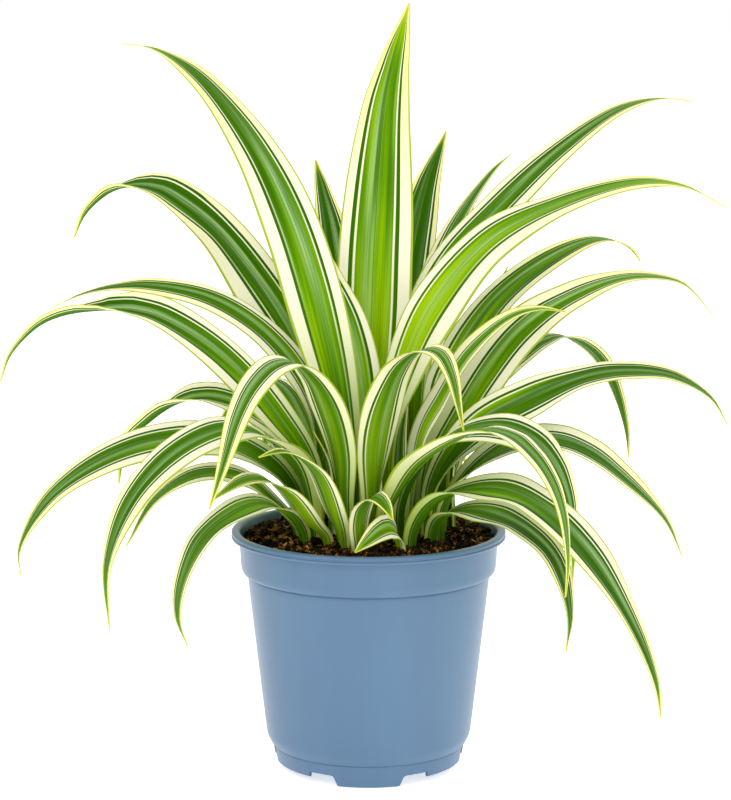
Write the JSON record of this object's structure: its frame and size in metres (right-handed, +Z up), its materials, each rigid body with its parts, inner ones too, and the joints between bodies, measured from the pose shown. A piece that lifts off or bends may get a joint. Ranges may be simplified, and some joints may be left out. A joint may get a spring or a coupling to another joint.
{
  "type": "potted spider plant",
  "caption": "Potted spider plant: long arching blades with pale margins rise from dark soil in a round tapered nursery pot with a rolled rim and a notched foot.",
  "frame": {"origin": "on the ground, under the middle of the plant's box, which is also the pot's axis to within 3 mm", "axes": "+Z up, -Y to the front, +X to the right of someone who looks at the front"},
  "size_m": [0.3168, 0.2543, 0.3316],
  "materials": {
    "leaf": "satin living leaf, green with cream margins",
    "pot_plastic": "smooth satin, dusty steel blue",
    "soil": "rough, loose and fibrous"
  },
  "bodies": {
    "root": {"pot": "pot_plastic", "soil": "soil", "leaf_tall_centre": "leaf", "leaf_tall_left": "leaf", "leaf_tall_left_behind": "leaf", "leaf_spike_back_left": "leaf", "leaf_spike_back_right": "leaf", "leaf_spike_far_right": "leaf", "leaf_high_right": "leaf", "leaf_broad_right": "leaf", "leaf_high_left": "leaf", "leaf_slim_left": "leaf", "leaf_broad_left": "leaf", "leaf_mid_right_back": "leaf", "leaf_mid_right": "leaf", "leaf_short_right": "leaf", "leaf_dark_right_back": "leaf", "leaf_small_left_back": "leaf", "leaf_low_left": "leaf", "leaf_droop_left": "leaf", "leaf_small_left": "leaf", "leaf_rim_left": "leaf", "leaf_hooked_left": "leaf", "leaf_short_front_left": "leaf", "leaf_short_front": "leaf", "leaf_curl_front": "leaf", "leaf_curl_soil": "leaf", "leaf_small_right_back": "leaf", "leaf_long_right": "leaf", "leaf_low_right": "leaf", "leaf_hooked_right": "leaf", "leaf_front_right_inner": "leaf", "leaf_front_right": "leaf", "leaf_droop_right": "leaf", "leaf_rim_right": "leaf", "leaf_back_low_right": "leaf", "leaf_back_short_right": "leaf", "leaf_back_droop_right": "leaf", "leaf_back_mid_right": "leaf", "leaf_back_small_right": "leaf", "leaf_back_broad": "leaf", "leaf_back_small_left": "leaf", "leaf_back_mid_left": "leaf", "leaf_back_droop_left": "leaf", "leaf_back_short_left": "leaf", "leaf_back_low_left": "leaf", "leaf_young_middle": "leaf", "leaf_young_left": "leaf", "leaf_young_right": "leaf"}
  },
  "joints": []
}
